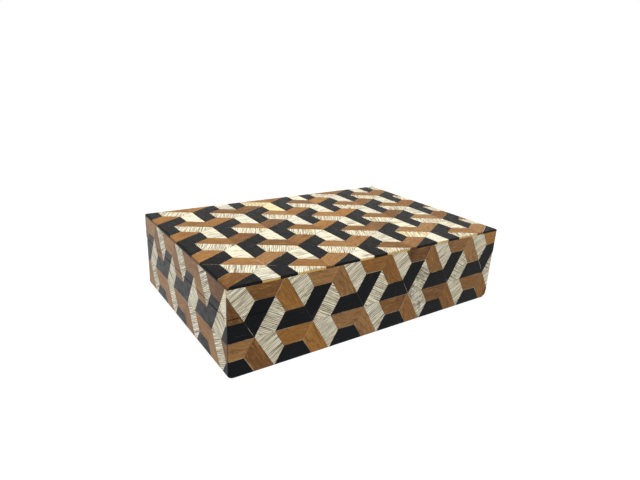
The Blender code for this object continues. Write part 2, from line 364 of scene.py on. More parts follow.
def across_line(points, line_point, inward):
    """Each corner's and its follower's distance inside the line, and where the edge between crosses it."""
    follower = np.roll(points, -1, axis=1)
    here = (points - line_point) @ inward
    there = np.roll(here, -1, axis=1)
    gap = np.where(np.abs(here - there) < TINY, 1.0, here - there)
    crossing = points + (here / gap)[..., None] * (follower - points)
    return follower, here, there, crossing


def trim(points, marks, line_point, inward, mark):
    """Keep the part of each convex outline on the inward side of a line. The new edge gets the mark."""
    follower, here, there, crossing = across_line(points, line_point, inward)
    marks = np.where((np.abs(here) < SAME) & (np.abs(there) < SAME), mark, marks)
    start = np.where((here >= 0)[..., None], points, crossing)
    end = np.where((there >= 0)[..., None], follower, crossing)
    alive = (here >= 0) | (there >= 0)
    keep_start = alive & (np.linalg.norm(end - start, axis=-1) > SAME)
    keep_end = (here >= 0) & (there < 0)
    both = np.stack([start, end], axis=2).reshape(len(points), -1, 2)
    new_marks = np.stack([marks, np.full_like(marks, mark)], axis=2).reshape(len(points), -1)
    keep = np.stack([keep_start, keep_end], axis=2).reshape(len(points), -1)
    return squeeze(both, new_marks, keep)


def split_edges(points, marks, line_point, inward):
    """Add a corner where an edge crosses a line, without removing anything."""
    follower, here, there, crossing = across_line(points, line_point, inward)
    keep_start = np.linalg.norm(follower - points, axis=-1) > SAME
    clear = np.minimum(np.abs(here), np.abs(there)) > CLEAR
    keep_cross = (here * there < 0) & clear
    both = np.stack([points, crossing], axis=2).reshape(len(points), -1, 2)
    new_marks = np.stack([marks, marks], axis=2).reshape(len(points), -1)
    keep = np.stack([keep_start, keep_cross], axis=2).reshape(len(points), -1)
    return squeeze(both, new_marks, keep)


print("kinds of edge:", SHARP + 1)

# %% [markdown]
# ## Edge profiles
# Seen in section, a tile's edge runs from its flat top down to its wall. A glued joint has a barely broken
# corner, the box's own arrises are sanded round, the bottom edges at the two ends are rounded more, and at
# the back the saw cut is planed to a 47.5 degree slope so that the lid can swing. Each profile is a list of
# (inset, drop) steps. For a round one of radius R they are R - R sin a and R - R cos a, and a slope falls
# in equal steps from its full inset at the top to none at the wall.

# %% Describe the profiles
BACK_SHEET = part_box("base_back_inlay")
THICK = BACK_SHEET[1].y - BACK_SHEET[0].y
PROFILE_STEPS = 4
DEEPEST = 0.97  # how far down a rounded edge may reach, as a share of the tile's thickness
GROOVE_ROOM = 0.0002  # planed off beyond the angle at which the lid stops
EDGE_RADII = {
    JOINT: 0.00008,
    ARRIS: 0.0013,
    SAWN: 0.00030,
    SHORT_FOOT: 0.0023,
    LONG_FOOT: 0.0042,
    SHARP: 0.00022,
}
HINGE = frame["joints"][0]
AXIS_Y, SEAM = HINGE["pos_m"][1], HINGE["pos_m"][2]
STOP_ANGLE = math.radians(HINGE["range_deg"][1] / 2)


def round_profile(radius):
    """Steps along a quarter round, stopping where it reaches the back of the tile."""
    last = math.acos(max(0.0, 1 - DEEPEST * THICK / radius))
    angle = np.linspace(0, last, PROFILE_STEPS)
    return np.stack([radius - radius * np.sin(angle), radius - radius * np.cos(angle)], axis=1)


def sloped_profile(drop, inset):
    """Steps down a flat slope."""
    part = np.linspace(0, 1, PROFILE_STEPS)
    return np.stack([inset * (1 - part), drop * part], axis=1)


groove_drop = plain_high.y - AXIS_Y
groove_inset = groove_drop * math.tan(STOP_ANGLE) + GROOVE_ROOM
PROFILES = np.zeros((SHARP + 1, PROFILE_STEPS, 2))
for mark, radius in EDGE_RADII.items():
    PROFILES[mark] = round_profile(radius)
PROFILES[GROOVE] = sloped_profile(groove_drop, groove_inset)
print("tile thickness in mm:", round(1000 * THICK, 2))

# %% [markdown]
# ## Raising tiles from outlines
# A tile's top is its outline drawn in by the first step of its edges' profiles, and each further step makes
# a wider ring a little lower. A ring's corner lies where two neighbouring edges, each shifted inwards by
# its own inset, cross. Below the last ring the walls drop to the back of the tile, which is closed too. A
# narrow offcut can't hold a wide rounding, so an inset takes up at most a share of the tile's width.

# %% Build rings of corners
INSET_SHARE = 0.42  # the most of a tile's width that one edge's rounding takes up
IN_LINE = 0.03  # the sine of the angle below which two edges count as one straight edge


def inward_normals(points):
    """Directions of length 1 that point into each outline: an edge (x, y) turned to (-y, x)."""
    edge = np.roll(points, -1, axis=1) - points
    length = np.linalg.norm(edge, axis=-1, keepdims=True)
    return np.stack([-edge[..., 1], edge[..., 0]], axis=-1) / length


def drawn_in(points, inset):
    """Shift every edge inwards by its inset and cross each with the one before it.

    The shift s of a corner between edges a and b solves s.na = da and s.nb = db. Where the two edges are
    nearly in line it is their mean normal times their mean inset.
    """
    after = inward_normals(points)
    before = np.roll(after, 1, axis=1)
    d_after, d_before = inset, np.roll(inset, 1, axis=1)
    cross = before[..., 0] * after[..., 1] - before[..., 1] * after[..., 0]
    straight = np.abs(cross) < IN_LINE
    cross = np.where(straight, 1.0, cross)
    x = (d_before * after[..., 1] - d_after * before[..., 1]) / cross
    y = (d_after * before[..., 0] - d_before * after[..., 0]) / cross
    mean = (before + after) * 0.25 * (d_before + d_after)[..., None]
    return points + np.where(straight[..., None], mean, np.stack([x, y], axis=-1))


def raise_outlines(points, marks, slack, wear):
    """Corners as (tile, ring, corner, 3): place in the face's plane and depth under it.

    Slack draws every ring in by a little more, and wear scales an edge's profile.
    """
    normals = inward_normals(points)
    offsets = np.einsum("tcx,tcx->tc", points, normals)
    extent = (np.einsum("tkx,tcx->tck", points, normals) - offsets[..., None]).max(-1)
    steps = PROFILES[marks].copy()
    share = np.where(marks == GROOVE, 1.0, INSET_SHARE)
    room = np.minimum(1.0, share * extent / np.maximum(steps[..., 0, 0], TINY))
    steps *= (room * wear)[..., None, None]
    rings = []
    for step in range(PROFILE_STEPS):
        inset = steps[..., step, 0] + slack
        drop = steps[..., step, 1]
        rings.append(np.dstack([drawn_in(points, inset), np.maximum(drop, np.roll(drop, 1, axis=1))]))
    under = rings[-1].copy()
    under[..., 2] = THICK
    return np.stack([*rings, under], axis=1)


def ring_faces(tiles, rings, corners, first):
    """Top, walls and back of every tile, as lists of corner numbers that run anticlockwise from outside."""
    number = first + np.arange(tiles * rings * corners).reshape(tiles, rings, corners)
    after = np.roll(number, -1, axis=2)
    upper, lower = number[:, :-1], number[:, 1:]
    walls = np.stack([lower, after[:, 1:], after[:, :-1], upper], axis=-1).reshape(-1, 4)
    return number[:, 0].tolist() + walls.tolist() + number[:, -1, ::-1].tolist()


print("rings per tile:", PROFILE_STEPS + 1)

# %% [markdown]
# ## The faces of the box
# A face has its own flat axes: u to the right and v upwards as one looks at it, and n outwards.

# %% Give each face its axes
AXES = {
    "front": ((1, 0, 0), (0, 0, 1), (0, -1, 0)),
    "back": ((-1, 0, 0), (0, 0, 1), (0, 1, 0)),
    "left": ((0, -1, 0), (0, 0, 1), (-1, 0, 0)),
    "right": ((0, 1, 0), (0, 0, 1), (1, 0, 0)),
    "top": ((1, 0, 0), (0, 1, 0), (0, 0, 1)),
}
MIDDLE = (plain_low + plain_high) / 2
FACE_SIZES = {
    "front": (LENGTH, HEIGHT),
    "back": (LENGTH, HEIGHT),
    "left": (DEPTH, HEIGHT),
    "right": (DEPTH, HEIGHT),
    "top": (LENGTH, DEPTH),
}


def face_frame(face):
    """The face's u, v and n directions and the corner where u = v = 0."""
    u, v, n = (np.array(axis, float) for axis in AXES[face])
    half = np.array(plain_high - plain_low) / 2
    corner = np.array(MIDDLE) + half * n - half * np.abs(u) * np.sign(u.sum()) - half * v
    return u, v, n, corner


print("faces to lay:", list(AXES))

# %% [markdown]
# A sheet is laid in one or more panels, each a convex outline made of trimming lines. A rounded corner is a
# few lines that touch a quarter circle. A line whose inward direction is d touches it at centre - R d.

# %% Draw the trimming lines
CORNER_LINES = np.radians([15, 30, 45, 60, 75])  # the angles at which they touch the circle
WIDE_ROUNDING = 0.0003  # an edge rounded more than this gets extra corners where its slope begins


def rectangle(left, right, bottom, top, marks):
    """Four trimming lines: a point on each, its inward direction and its mark."""
    return [
        ((left, 0), (1, 0), marks[0]),
        ((right, 0), (-1, 0), marks[1]),
        ((0, bottom), (0, 1), marks[2]),
        ((0, top), (0, -1), marks[3]),
    ]


def rounded_corner(x, y, radius, side):
    """Lines touching a quarter circle at a bottom corner: side is 1 at the left corner, -1 at the right."""
    centre = np.array([x + side * radius, y + radius])
    inward = np.stack([side * np.cos(CORNER_LINES), np.sin(CORNER_LINES)], axis=1)
    return [(tuple(centre - radius * d), tuple(d), ARRIS) for d in inward]


def trimmed(points, marks, lines):
    """Outlines cut by all lines, with extra corners where a rounded edge's slope begins."""
    owner = np.arange(len(points))
    for line_point, inward, mark in lines:
        points, marks, count = trim(points, marks, np.array(line_point), np.array(inward), mark)
        points, marks, owner = points[count > 2], marks[count > 2], owner[count > 2]
    for line_point, inward, mark in lines:
        inset = PROFILES[mark, 0, 0]
        if inset > WIDE_ROUNDING and len(points):
            start = np.array(line_point) + inset * np.array(inward)
            points, marks, count = split_edges(points, marks, start, np.array(inward))
    count = 1 + (np.linalg.norm(points[:, 1:] - points[:, :1], axis=-1) > SAME).sum(1)
    return points, marks, owner, count


print("lines of a rounded corner:", len(CORNER_LINES))

# %% [markdown]
# ## Laying a sheet
# The joints are not all equally tight, so each tile edge gets a small random slack. The tiles' edges along
# the saw cut have chipped and worn, most near the front left corner. At the distance x from it the wear is
# least + (1 - least) exp(-(x / reach)^2). The slab of glue under the tiles is laid in the same way, drawn
# in a little so that it stays hidden at the cut.

# %% Wear and slack of the edges
JOINT_SLACK = (0.00005, 0.00015)
BED_INSET = 0.00012
SEAM_CHIP = 0.00028  # the most that a tile's sawn edge has broken away, before its random share
CHIP_RANGE = (0.3, 1.7)
CHIP_FROM = 0.25  # an edge worn less than this hasn't chipped
WEAR_REACH = 0.024
LEAST_WEAR = 0.20
LEAST_WEAR_LEFT = 0.50
SMALLEST = 0.00030  # slimmer offcuts are left to the glue
LEAST_REACH = 1.3  # a tile at the groove is at least this many times as wide as the groove's slope


def seam_wear(face, middles):
    """How much a sawn edge is worn: 1 at the front left corner and less with distance from it."""
    if face not in ("front", "left"):
        return np.full(middles.shape[:2], LEAST_WEAR)
    along = middles[..., 0] if face == "front" else DEPTH - middles[..., 0]
    least = LEAST_WEAR if face == "front" else LEAST_WEAR_LEFT
    return least + (1 - least) * np.exp(-((along / WEAR_REACH) ** 2))


def edge_slack(face, shape, edge, level, rng):
    """How far each edge is drawn in beyond its profile, and how large its profile is."""
    middles = 0.5 * (shape + np.roll(shape, -1, axis=1))
    wear = np.where(edge == SAWN, seam_wear(face, middles), 1.0)
    slack = np.where(edge == JOINT, rng.uniform(*JOINT_SLACK, edge.shape), 0.0)
    chipped = SEAM_CHIP * np.maximum(wear - CHIP_FROM, 0.0) * rng.uniform(*CHIP_RANGE, edge.shape)
    slack = np.where(edge == SAWN, chipped, slack)
    if level > 0:
        slack = np.where(edge == SAWN, BED_INSET + 2 * SEAM_CHIP, BED_INSET)
    return slack, wear


def large_enough(shape, edge):
    """Which outlines are wide enough to be laid.

    Their width is taken as 2 area / length around. Twice the area is the sum of x1 y2 - y1 x2 over the edges.
    At the groove a tile must also be wider than the slope that is planed on it.
    """
    follower = np.roll(shape, -1, axis=1)
    area = 0.5 * (shape[..., 0] * follower[..., 1] - shape[..., 1] * follower[..., 0]).sum(1)
    around = np.linalg.norm(follower - shape, axis=-1).sum(1)
    normals = inward_normals(shape)
    reach = np.einsum("tkx,tcx->tck", shape, normals).max(-1)
    reach -= np.einsum("tcx,tcx->tc", shape, normals)
    cut_away = (edge == GROOVE) & (reach < LEAST_REACH * groove_inset)
    return (2 * area / around > SMALLEST) & ~cut_away.any(1)


print("most chipping in mm:", round(1000 * SEAM_CHIP, 2))

# %% [markdown]
# Tiles are raised together with others of the same colour and the same number of corners. Every corner of
# the mesh stores its place in its own tile (along, across and depth, in millimetres) and three random
# numbers of the tile, which the finishes read. A place on the face becomes corner + u a + v b - n depth.

# %% Lay tiles on a face
def lay(face, tiles, panels, rng, level=0.0):
    """Raise every tile inside the panels. Gives places, faces and stored values for each tile colour."""
    u, v, n, corner = face_frame(face)
    made = {colour: {"place": [], "faces": [], "tile_place": [], "tile_random": []} for colour in range(3)}
    for lines in panels:
        start_marks = np.full(tiles["corners"].shape[:2], JOINT)
        points, marks, owner, count = trimmed(tiles["corners"], start_marks, lines)
        for colour in range(3):
            store = made[colour]
            for size in range(3, points.shape[1] + 1):
                pick = (count == size) & (tiles["colour"][owner] == colour)
                shape, edge = points[pick, :size], marks[pick, :size]
                wide = large_enough(shape, edge)
                shape, edge, mine = shape[wide], edge[wide], owner[pick][wide]
                if not len(shape):
                    continue
                slack, wear = edge_slack(face, shape, edge, level, rng)
                raised = raise_outlines(shape, edge, slack, wear)
                flat = np.clip(raised[..., :2], 0.0, FACE_SIZES[face])
                depth = np.maximum(raised[..., 2], level)
                places = corner + flat[..., :1] * u + flat[..., 1:] * v - depth[..., None] * n
                offset = flat - tiles["elbow"][mine][:, None, None]
                local = turned(offset, -tiles["angle"][mine][:, None, None])
                tile_place = np.dstack([local.reshape(-1, 2)[None], depth.reshape(1, -1)])[0]
                first = sum(len(p) for p in store["place"])
                store["faces"] += ring_faces(len(shape), PROFILE_STEPS + 1, size, first)
                store["place"].append(places.reshape(-1, 3))
                store["tile_place"].append(1000 * tile_place)
                each = np.repeat(tiles["chance"][mine], (PROFILE_STEPS + 1) * size, axis=0)
                store["tile_random"].append(each)
    return made


print("corners of a whole tile:", 4 * (PROFILE_STEPS + 1))

# %% [markdown]
# ## Bone
# The white tiles are slips of bone under a thin coat of lacquer. Fine dark saw lines cross each slip in
# groups, and between them the bone is rubbed pale. The lines are where the ripple is high:
#
# ripple = 0.42 sin(phase) + 7 (noise - 1/2)
#
# The phase grows along the tile and wanders with broad noise, and the noise in the second term is squeezed
# along the tile and stretched across it. Striped slips, whose third number is above 1/2, always show the
# lines, and the others only in places. The colour drifts between cream, straw and a cold grey, a third number
# above 1 gives a mottled slip, and cut edges are yellower than the polished face.

# %% Finish the bone
TILE_SHIFT = (97.0, 61.0, 43.0)
DEPTH_SHRINK = 0.3  # patterns run this much slower into the tile, so its edge continues its face


def tile_graph(name):
    """A new finish with the place in the tile in millimetres, the tile's three numbers and the depth.

    The place is shifted by the random numbers, so that no two tiles show the same stretch of a pattern.
    """
    material, graph = new_finish(name)
    place = graph.add("ShaderNodeAttribute", attribute_name="tile_place").outputs["Vector"]
    chance = graph.add("ShaderNodeAttribute", attribute_name="tile_random").outputs["Vector"]
    depth = graph.add("ShaderNodeSeparateXYZ", {0: place}).outputs[2]
    numbers = tuple(graph.add("ShaderNodeSeparateXYZ", {0: chance}).outputs)
    shifted = graph.vector("ADD", place, graph.vector("MULTIPLY", chance, TILE_SHIFT))
    return material, graph, shifted, numbers, depth


def stretched(graph, place, along, across):
    """The place with its two directions squeezed or stretched, for patterns with a grain."""
    return graph.vector("MULTIPLY", place, (along, across, DEPTH_SHRINK))


bone, g, place, (first, second, third), depth = tile_graph("polished bone")
along = g.add("ShaderNodeSeparateXYZ", {0: place}).outputs[0]
drift = g.noise(stretched(g, place, 0.22, 0.035), 1.0, 2.0, 0.5)
waver = g.noise(stretched(g, place, 0.30, 0.10), 1.0, 3.0, 0.55)
pitch = g.step(first, 0.0, 1.0, 4.4, 6.0)
phase = g.maths("ADD", g.maths("MULTIPLY", along, pitch), g.maths("MULTIPLY", drift, 10.0))
phase = g.maths("ADD", phase, g.maths("MULTIPLY", waver, 2.5))
saw_lines = g.noise(stretched(g, place, 2.1, 0.045), 1.0, 3.0, 0.68)
ripple = g.maths("MULTIPLY", g.maths("SINE", phase), 0.42)
ripple = g.maths("ADD", ripple, g.maths("MULTIPLY", g.maths("SUBTRACT", saw_lines, 0.5), 7.0))
finer = g.noise(stretched(g, place, 4.0, 0.08), 1.0, 2.0, 0.6)
striped = g.step(third, 0.49, 0.51)
where = g.noise(stretched(g, place, 0.16, 0.10), 1.0, 3.0, 0.6)
strength = g.step(g.maths("ADD", where, g.maths("MULTIPLY", third, 0.52)), 0.44, 0.72, 0.06, 1.0)
groups = g.step(g.noise(stretched(g, place, 0.34, 0.045), 1.0, 2.0, 0.6), 0.34, 0.60)
groups = g.maths("MAXIMUM", groups, g.maths("MULTIPLY", striped, 0.72))
strength = g.maths("MULTIPLY", strength, groups)
broken = g.step(g.noise(stretched(g, place, 0.9, 0.16), 1.0, 2.0), 0.20, 0.42)
hair = g.maths("MULTIPLY", g.step(ripple, 0.08, 0.66), g.maths("MULTIPLY", strength, broken))
fine_hair = g.maths("MULTIPLY", g.step(finer, 0.49, 0.64), g.maths("MULTIPLY", strength, 0.62))
pale = g.maths("MULTIPLY", g.step(ripple, 0.0, -0.70), 0.90)
cream = g.mix(g.step(first, 0.15, 0.95), (0.74, 0.680, 0.485), (0.64, 0.610, 0.490))
cream = g.mix(g.maths("MULTIPLY", striped, 0.55), cream, (0.60, 0.520, 0.340))
cream = g.mix(g.step(second, 0.97, 1.0, 0.0, 0.80), cream, (0.80, 0.58, 0.16))
cloud = g.noise(stretched(g, place, 0.13, 0.2), 1.0, 3.0, 0.6)
cream = g.mix(g.step(cloud, 0.42, 0.70, 0.0, 0.60), cream, (0.44, 0.395, 0.285))
cream = g.mix(pale, cream, (0.96, 0.925, 0.785))
cream = g.mix(g.maths("MULTIPLY", hair, 0.96), cream, (0.065, 0.043, 0.020))
cream = g.mix(fine_hair, cream, (0.19, 0.145, 0.085))
blotch = g.step(g.noise(place, 0.42, 4.0, 0.65, 0.6), 0.47, 0.60)
blotch = g.maths("MULTIPLY", blotch, g.step(third, 1.05, 1.15))
cream = g.mix(g.maths("MULTIPLY", blotch, 0.75), cream, (0.12, 0.11, 0.085))
cream = g.mix(g.step(depth, 0.25, 0.9, 0.0, 0.85), cream, (0.62, 0.36, 0.05))
gloss = g.step(g.maths("ADD", g.maths("MULTIPLY", hair, 0.3), cloud), 0.3, 1.1, 0.24, 0.5)
sunken = g.maths("MULTIPLY", hair, -1.0)
relief = g.bump(g.maths("ADD", sunken, g.maths("MULTIPLY", drift, 0.5)), 0.25, 0.00008)
shade(g, Base_Color=cream, Roughness=gloss, Normal=relief, IOR=1.45, Specular_IOR_Level=0.09)
print("bone nodes:", len(bone.node_tree.nodes))

# %% [markdown]
# ## Black
# The black tiles are dyed and nearly featureless: a cold, very dark grey with faint streaks and a few pale
# scratches. Their depth comes from the lacquer above them.

# %% Finish the black
black, g, place, numbers, depth = tile_graph("dyed black")
streak = g.noise(stretched(g, place, 0.12, 1.6), 1.0, 4.0, 0.65)
tone = g.mix(numbers[0], (0.0015, 0.0019, 0.0028), (0.0030, 0.0036, 0.0046))
tone = g.mix(g.step(streak, 0.50, 0.72, 0.0, 0.45), tone, (0.014, 0.015, 0.016))
scratch_place = g.vector("MULTIPLY", place, (0.09, 2.6, 1.0))
scratch = g.step(g.noise(scratch_place, 1.0, 1.0), 0.735, 0.76)
tone = g.mix(g.maths("MULTIPLY", scratch, 0.35), tone, (0.16, 0.16, 0.16))
gloss = g.step(g.noise(place, 0.22, 3.0), 0.3, 0.7, 0.26, 0.40)
relief = g.bump(streak, 0.10, 0.00006)
shade(g, Base_Color=tone, Roughness=gloss, Normal=relief, IOR=1.45, Specular_IOR_Level=0.09)
print("black nodes:", len(black.node_tree.nodes))

# %% [markdown]
# ## Brown wood
# The brown tiles are a fine-grained hardwood cut along the tile. Each piece has its own tone between tan and
# red brown, broad darker growth bands, fine fibres and short dark pores. Bands, figure, fibres and pores are
# noise of the place in the tile, each stretched along the grain by its own amount, and the bands also wander
# across it. One tile of the front has a knot: dark rings where sin(2.6 r) is high, at the distance r in
# millimetres from its centre, with noise to bend them. Only a tile whose third number is above 1 shows it.

# %% Finish the brown wood
KNOT = tuple(plain_low + Vector((10.15 * SIDE, 0.0, 4.02 * SIDE)))
brown, g, place, (first, second, third), depth = tile_graph("brown hardwood")
wander = g.noise(stretched(g, place, 0.07, 0.16), 1.0, 2.0)
grain_place = stretched(g, place, 0.05, 0.34)
sideways = g.add("ShaderNodeCombineXYZ", {1: g.maths("MULTIPLY", wander, 3.5)}).outputs[0]
band_place = g.vector("ADD", grain_place, sideways)
growth = g.noise(band_place, 1.3, 4.0, 0.6)
figure = g.noise(stretched(g, place, 0.16, 0.55), 1.0, 4.0, 0.62)
fibre = g.noise(stretched(g, place, 0.16, 1.9), 1.0, 4.0, 0.65)
pores = g.step(g.noise(stretched(g, place, 0.55, 4.5), 1.0, 1.0), 0.62, 0.69)
tan = g.mix(first, (0.378, 0.172, 0.037), (0.138, 0.055, 0.014))
tan = g.mix(g.step(second, 0.65, 1.0, 0.0, 0.75), tan, (0.365, 0.206, 0.086))
tan = g.mix(g.step(second, 0.40, 0.0, 0.0, 0.55), tan, (0.135, 0.067, 0.026))
tan = g.mix(g.step(growth, 0.50, 0.74, 0.0, 0.60), tan, (0.115, 0.048, 0.015))
tan = g.mix(g.step(growth, 0.46, 0.32, 0.0, 0.40), tan, (0.450, 0.225, 0.066))
tan = g.mix(g.step(figure, 0.50, 0.72, 0.0, 0.30), tan, (0.130, 0.056, 0.018))
tan = g.mix(g.step(figure, 0.44, 0.30, 0.0, 0.25), tan, (0.480, 0.240, 0.070))
tan = g.mix(g.step(fibre, 0.46, 0.68, 0.0, 0.62), tan, (0.105, 0.044, 0.016))
tan = g.mix(g.step(fibre, 0.45, 0.30, 0.0, 0.50), tan, (0.520, 0.270, 0.090))
tan = g.mix(g.maths("MULTIPLY", pores, 0.60), tan, (0.050, 0.022, 0.011))
spot = g.add("ShaderNodeTexCoord").outputs["Object"]
from_knot = g.add("ShaderNodeVectorMath", {0: spot, 1: KNOT}, operation="DISTANCE").outputs[1]
bend = g.maths("MULTIPLY", g.maths("SUBTRACT", g.noise(spot, 260.0, 3.0), 0.5), 5.0)
radius = g.maths("ADD", g.maths("MULTIPLY", from_knot, 1000.0), bend)
rings = g.step(g.maths("SINE", g.maths("MULTIPLY", radius, 2.6)), -0.2, 0.9, 0.0, 0.75)
rings = g.maths("MULTIPLY", rings, g.step(radius, 9.0, 3.0))
knot = g.maths("MAXIMUM", rings, g.step(radius, 2.4, 1.0))
knot = g.maths("MULTIPLY", knot, g.step(third, 1.05, 1.15))
tan = g.mix(g.maths("MULTIPLY", knot, 0.90), tan, (0.030, 0.015, 0.009))
tan = g.mix(g.step(depth, 0.25, 0.8, 0.0, 0.80), tan, (0.060, 0.028, 0.012))
gloss = g.step(fibre, 0.3, 0.75, 0.26, 0.46)
relief = g.bump(g.maths("SUBTRACT", fibre, pores), 0.16, 0.00008)
shade(g, Base_Color=tan, Roughness=gloss, Normal=relief, IOR=1.45, Specular_IOR_Level=0.09)
print("brown nodes:", len(brown.node_tree.nodes))

# %% [markdown]
# ## The glue bed
# Between the tiles one sees the filler that they are bedded in: a dark brown resin in some places and a pale
# filler in others. It is laid as a single slab just under the tile tops.

# %% Finish the glue
glue, g = new_finish("glue and filler")
spot = g.add("ShaderNodeTexCoord").outputs["Object"]
patch = g.noise(spot, 70.0, 2.0)
resin = g.mix(g.step(patch, 0.48, 0.58), (0.028, 0.013, 0.007), (0.50, 0.42, 0.30))
grit = g.bump(g.noise(spot, 2500.0, 2.0), 0.4, 0.00005)
shade(g, Base_Color=resin, Roughness=0.55, Normal=grit)
TILE_FINISH = {BONE: bone, BLACK: black, BROWN: brown}
TILE_NAME = {BONE: "bone", BLACK: "black", BROWN: "brown"}
print("finishes so far:", len(bpy.data.materials))

# %% [markdown]
# ## Which way each sheet runs
# The front and the two ends carry the pattern upright, and on the top it is turned by 210 degrees. Each face
# starts at its own phase, given here as the place of one elbow, in tile sides from the face's lower left
# corner. Tray and lid use the same tiles, because the box was sawn open after it was covered. A few single
# tiles differ from the rest in colour or finish.

# %% Set out the faces
ELBOWS = {
    "front": (1.237, 1.732),
    "left": (9.525, 1.620),
    "back": (1.99, 1.732),
    "right": (1.35, 1.690),
    "top": (2.461, DEPTH / SIDE - 0.865),
}
SHEET_TURN = {"top": math.radians(210)}
# Single tiles that differ: their place on the face in tile sides, a new colour, and their own three chances.
ODD_TILES = {
    "front": [
        ((10.15, 4.00), BROWN, (0.9, 0.2, 1.3)),
        ((10.85, 1.35), BONE, (0.9, 0.1, 1.3)),
        ((11.06, 2.36), BONE, (0.7, 0.2, 1.12)),
        ((0.25, 3.40), BROWN, (1.0, 0.1, 0.1)),
        ((13.92, 2.55), BONE, (0.3, 0.2, 1.10)),
        ((13.75, 1.10), BONE, (0.2, 0.3, 0.99)),
    ],
    "left": [
        ((10.90, 3.10), BONE, (0.2, 0.1, 0.0)),
        ((0.31, 3.42), BROWN, (0.6, 0.5, 0.2)),
    ],
    "top": [
        ((7.42, 9.26), BONE, (0.1, 1.0, 0.0)),
        ((0.9, 0.5), BROWN, (0.9, 0.6, 0.2)),
    ],
}
print("odd tiles:", sum(len(tiles) for tiles in ODD_TILES.values()))

# %% [markdown]
# ## Panels
# A sheet is one rectangle of trimming lines, with its bottom corners rounded on the tray. The sheets reach
# a hair into the saw cut and over the gap to their neighbours, and the tray's end just above the table. The
# back is laid in five panels: two stop short of the saw cut, to leave room for the hinges.

# %% Work out the panels
CLOSE = 0.00025  # how far a sheet reaches over the gap to its neighbour
SEAM_CLOSE = 0.00012  # how far each sheet reaches into the saw cut
FOOT_GAP = 0.00030  # between the table and the lowest tiles
NOTCH_ROOM = 0.0003  # left free around each hinge
HINGE_LEAVES = [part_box(f"{side}_hinge_base_leaf") for side in ("left", "right")]
PIN_ENDS = [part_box(f"{side}_hinge_pin") for side in ("left", "right")]


def sheet_limits(node, face):
    """The node's lowest and highest u and v on its face."""
    u, v, outward, corner = face_frame(face)
    low, high = (np.array(place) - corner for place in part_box(node))
    across = sorted((low @ u, high @ u))
    up = sorted((low @ v, high @ v))
    return across[0], across[1], up[0], up[1]


def panels_for(part, face):
    """The trimming lines of a sheet, as a list of panels."""
    left, right, bottom, top = sheet_limits(f"{part}_{face}_inlay", face)
    if face == "top":
        return [rectangle(left, right, bottom, top, (ARRIS, ARRIS, SHARP, SHARP))]
    seam_mark = GROOVE if face == "back" else SAWN
    foot = {"left": SHORT_FOOT, "right": LONG_FOOT}.get(face, SHARP)
    ends = FLUSH if face in ("left", "right") else ARRIS if part == "base" else SHARP
    if face in ("left", "right"):
        left, right = left - CLOSE, right + CLOSE
    closing = 0.0 if face in ("back", "left") else SEAM_CLOSE
    if part == "base":
        low_mark, high_mark = foot, seam_mark
        bottom = FOOT_GAP
        top += closing
    else:
        low_mark, high_mark = seam_mark, FLUSH
        bottom -= closing
        top += CLOSE
    corners = []
    if part == "base" and face in ("front", "back"):
        short, long = PROFILES[SHORT_FOOT, 0, 0], PROFILES[LONG_FOOT, 0, 0]
        at_left, at_right = (short, long) if face == "front" else (long, short)
        corners = rounded_corner(left, bottom, at_left, 1) + rounded_corner(right, bottom, at_right, -1)
    if face != "back":
        return [rectangle(left, right, bottom, top, (ends, ends, low_mark, high_mark)) + corners]
    room = HINGE_LEAVES[0][1].z - SEAM + NOTCH_ROOM
    notches = sorted((-high.x - plain_low.x, -low.x - plain_low.x) for low, high in PIN_ENDS)
    sides = [x for low, high in notches for x in (low - NOTCH_ROOM, high + NOTCH_ROOM)]
    stops = [left, *sides, right]
    panels = []
    for number, (a, b) in enumerate(zip(stops, stops[1:])):
        lower, upper, near = bottom, top, seam_mark
        at_hinge = number % 2 == 1
        if at_hinge:
            near = SAWN
            lower = bottom if part == "base" else SEAM + room
            upper = SEAM - room if part == "base" else top
        marks = (ends if a == left else FLUSH, ends if b == right else FLUSH)
        tops = (low_mark, near) if part == "base" else (near, high_mark)
        panels.append(rectangle(a, b, lower, upper, (*marks, *tops)) + corners)
    return panels


print("hinges to leave room for:", len(PIN_ENDS))

# %% [markdown]
# ## Laying all nine sheets
# Each sheet becomes four pieces: its bone, its black and its brown tiles, and the glue bed under them. They
# stand for one plain sheet and ride on the tray or the lid with it. The glue bed is laid like a single large
# tile whose top lies a little deeper.

# %% Lay the sheets
BED_DEPTH = 0.00006
face_count = 0
for seed, face in enumerate(AXES):
    tiles = chevron_tiles(
        np.array(ELBOWS[face]) * SIDE, SHEET_TURN.get(face, 0.0), FACE_SIZES[face])
    for spot, colour, chance in ODD_TILES.get(face, ()):
        number = tile_at(tiles, spot)
        tiles["colour"][number] = colour
        tiles["chance"][number] = chance
    for part, body in (("base", "box_base"), ("lid", "lid")):
        if face == "top" and part == "base":
            continue
        node = f"{part}_{face}_inlay"
        panels = panels_for(part, face)
        made = lay(face, tiles, panels, np.random.default_rng(seed))
        for colour, store in made.items():
            piece = mesh_piece(
                f"{part}_{face}_{TILE_NAME[colour]}_tiles", np.concatenate(store["place"]), store["faces"],
                TILE_FINISH[colour],
                {key: np.concatenate(store[key]) for key in ("tile_place", "tile_random")})
            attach(piece, body)
            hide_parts(node)
            face_count += len(piece.data.polygons)
        width, height = FACE_SIZES[face]
        slab = {
            "corners": np.array([[(0, 0), (width, 0), (width, height), (0, height)]], float),
            "angle": np.zeros(1),
            "elbow": np.zeros((1, 2)),
            "colour": np.array([BROWN]),
            "chance": np.zeros((1, 3)),
        }
        bed = lay(face, slab, panels, np.random.default_rng(seed), BED_DEPTH)[BROWN]
        piece = mesh_piece(f"{part}_{face}_glue_bed", np.concatenate(bed["place"]), bed["faces"], glue)
        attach(piece, body)
        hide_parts(node)
print("tile faces:", face_count)

